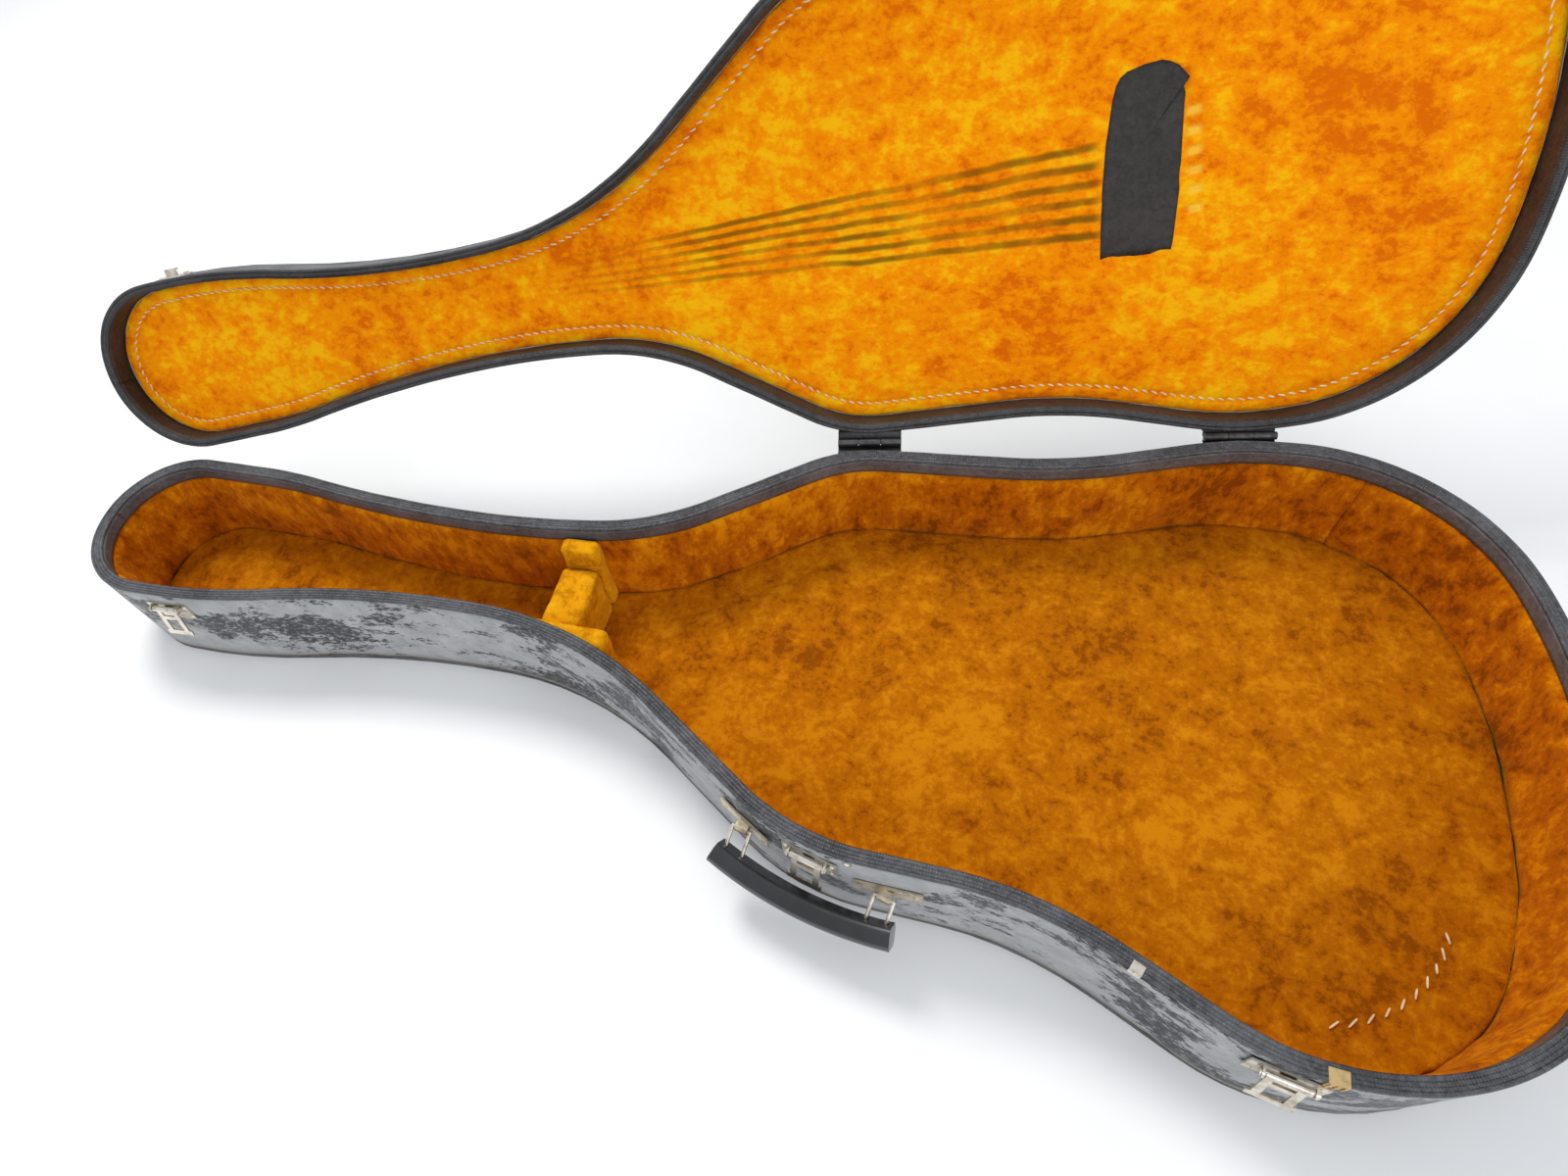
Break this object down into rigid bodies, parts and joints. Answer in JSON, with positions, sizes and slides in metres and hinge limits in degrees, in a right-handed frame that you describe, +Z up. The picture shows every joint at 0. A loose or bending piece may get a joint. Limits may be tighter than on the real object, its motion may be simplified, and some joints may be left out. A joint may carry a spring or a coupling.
{
  "type": "guitar case",
  "caption": "Shaped hard-shell guitar case with a standing hinged lid, plush lining, hasp latches and a carrying handle.",
  "frame": {"origin": "middle of the length on the underside of the base", "axes": "+X from the head to the tail end, +Y towards the hinge side, +Z up"},
  "size_m": [1.1424, 0.683, 0.4871],
  "materials": {
    "board_vinyl": "plywood board under black vinyl",
    "plywood": "bare bent plywood",
    "dusty_vinyl": "grained black vinyl under pale dust",
    "black_vinyl": "grained black vinyl",
    "binding_vinyl": "grey-black ribbed vinyl binding",
    "inner_vinyl": "smooth dark vinyl",
    "base_plush": "crushed orange-gold plush",
    "lid_plush": "crushed gold plush",
    "patch_vinyl": "pebbled black vinyl",
    "grip_black": "polished black",
    "brass_tab": "dull brass",
    "latch_metal": "worn nickel plate",
    "plate_metal": "tarnished brassy plate"
  },
  "bodies": {
    "base": {"base_panel": "board_vinyl", "base_side_far": "plywood", "base_side_near": "plywood", "base_cover_far": "black_vinyl", "base_cover_near": "dusty_vinyl", "base_binding": "binding_vinyl", "base_band_far": "inner_vinyl", "base_band_near": "inner_vinyl", "lining_head": "base_plush", "lining_far": "base_plush", "lining_near": "base_plush", "lining_tail": "base_plush", "floor_pad": "base_plush", "neck_rest_far": "base_plush", "neck_rest_near": "base_plush", "neck_rest_saddle": "base_plush", "hinge_leaf_base_upper": "plate_metal", "hinge_leaf_base_lower": "plate_metal", "hinge_pins": "plate_metal", "hinge_rivets_base": "plate_metal", "latch_plate_head": "latch_metal", "latch_plate_middle": "latch_metal", "latch_plate_tail": "latch_metal", "latch_pins": "latch_metal", "latch_rivets": "latch_metal", "handle_plate_head": "plate_metal", "handle_plate_tail": "plate_metal", "handle_rivets": "plate_metal", "rim_tab": "brass_tab", "rim_clip": "plate_metal", "rim_stud": "plate_metal"},
    "lid": {"lid_panel": "board_vinyl", "lid_side_far": "plywood", "lid_side_near": "plywood", "lid_cover_far": "black_vinyl", "lid_cover_near": "black_vinyl", "lid_binding": "binding_vinyl", "lid_band_far": "inner_vinyl", "lid_band_near": "inner_vinyl", "lid_liner": "lid_plush", "lid_catch_head": "latch_metal", "lid_catch_middle": "latch_metal", "lid_catch_tail": "latch_metal", "bridge_patch": "patch_vinyl", "hinge_leaf_lid_upper": "plate_metal", "hinge_leaf_lid_lower": "plate_metal", "hinge_rivets_lid": "plate_metal"},
    "hasp_head": {"hasp_head": "latch_metal"},
    "hasp_middle": {"hasp_middle": "latch_metal"},
    "hasp_tail": {"hasp_tail": "latch_metal"},
    "handle": {"wire_loop_head": "latch_metal", "wire_loop_tail": "latch_metal", "handle_grip": "grip_black"}
  },
  "joints": [
    {"name": "lid_hinge", "type": "hinge", "parent": "base", "child": "lid", "pos_m": [-0.02655, 0.15616, 0.0982], "axis": [0.9859, 0.1676, 0], "range_deg": [0, 118]},
    {"name": "hasp_head_swing", "type": "hinge", "parent": "base", "child": "hasp_head", "pos_m": [-0.45268, -0.07758, 0.082], "axis": [-0.9976, -0.0685, 0], "range_deg": [0, 150]},
    {"name": "hasp_middle_swing", "type": "hinge", "parent": "base", "child": "hasp_middle", "pos_m": [0.11391, -0.16138, 0.082], "axis": [-0.9713, 0.2377, 0], "range_deg": [0, 150]},
    {"name": "hasp_tail_swing", "type": "hinge", "parent": "base", "child": "hasp_tail", "pos_m": [0.38328, -0.21841, 0.085], "axis": [-0.9877, 0.1564, 0], "range_deg": [0, 150]},
    {"name": "handle_swing", "type": "hinge", "parent": "base", "child": "handle", "pos_m": [0.11453, -0.15554, 0.06], "axis": [-0.9742, 0.2258, 0], "range_deg": [0, 65]}
  ]
}
